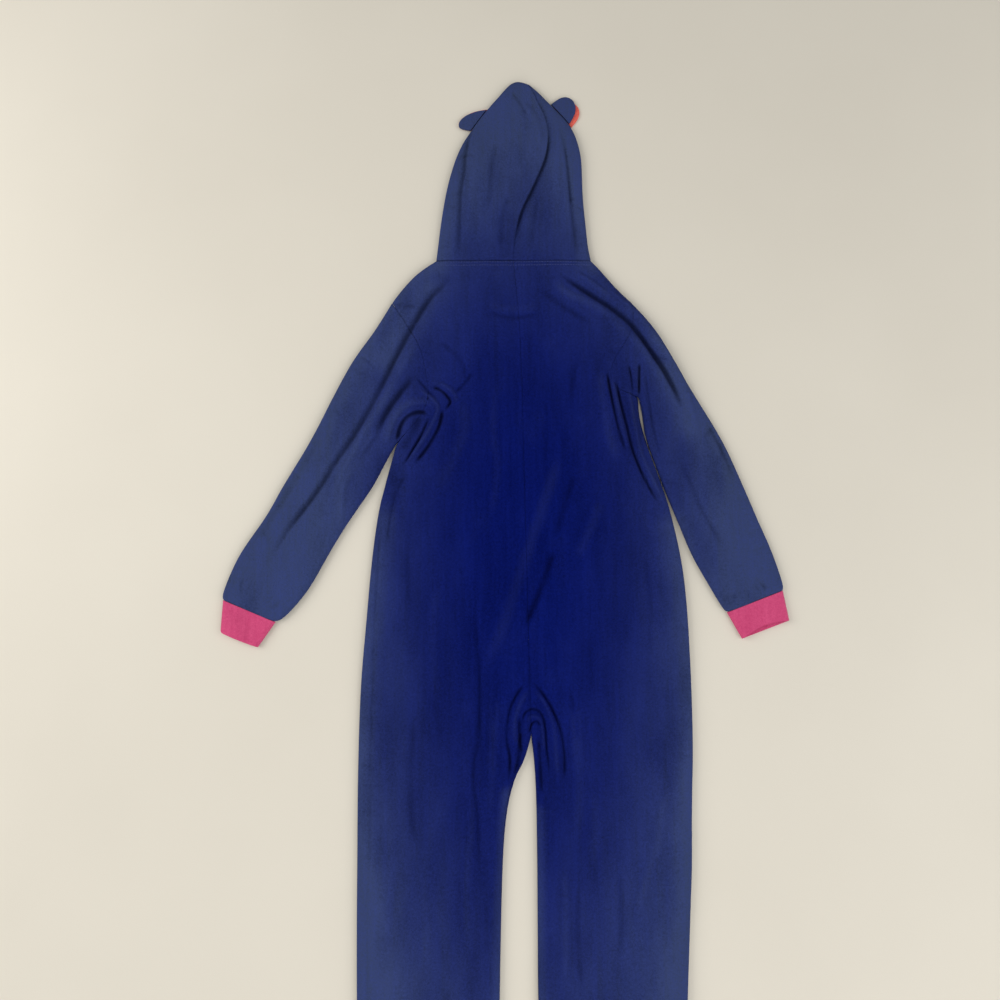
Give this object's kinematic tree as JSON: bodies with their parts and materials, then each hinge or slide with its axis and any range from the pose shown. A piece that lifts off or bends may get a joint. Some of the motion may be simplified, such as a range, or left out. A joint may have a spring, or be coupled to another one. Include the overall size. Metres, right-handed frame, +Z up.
{
  "type": "owl onesie",
  "caption": "Hooded fleece one-piece garment with ears, wrist cuffs and a front zip, laid face down with its sleeves spread and legs straight.",
  "frame": {"origin": "middle of the laid garment's outline, on the surface that it lies on", "axes": "+Y from the legs to the hood, +X towards the wearer's right sleeve, +Z up off the surface, out of the garment's back"},
  "size_m": [0.8042, 1.6156, 0.0132],
  "materials": {
    "fleece": "brushed polyester fleece, royal blue",
    "cuff_fleece": "brushed polyester fleece, pink",
    "ear_fleece": "brushed polyester fleece, coral",
    "zip_tape": "woven polyester tape, blue",
    "zip_metal": "satin nickel plating"
  },
  "bodies": {
    "garment": {"back_left": "fleece", "back_right": "fleece", "front_left": "fleece", "front_right": "fleece", "sleeve_left": "fleece", "sleeve_right": "fleece", "hood_left": "fleece", "hood_right": "fleece", "ear_left_back": "fleece", "ear_right_back": "fleece", "ear_left_front": "ear_fleece", "ear_right_front": "ear_fleece", "cuff_left": "cuff_fleece", "cuff_right": "cuff_fleece", "zip_tape_left": "zip_tape", "zip_tape_right": "zip_tape", "zip_slider": "zip_metal"},
    "pull": {"zip_pull": "zip_metal"}
  },
  "joints": [
    {"name": "pull_turn", "type": "hinge", "parent": "garment", "child": "pull", "pos_m": [0.01357, 0.49827, 0.0016], "axis": [0.9994, 0.0332, 0], "range_deg": [0, 160]}
  ]
}
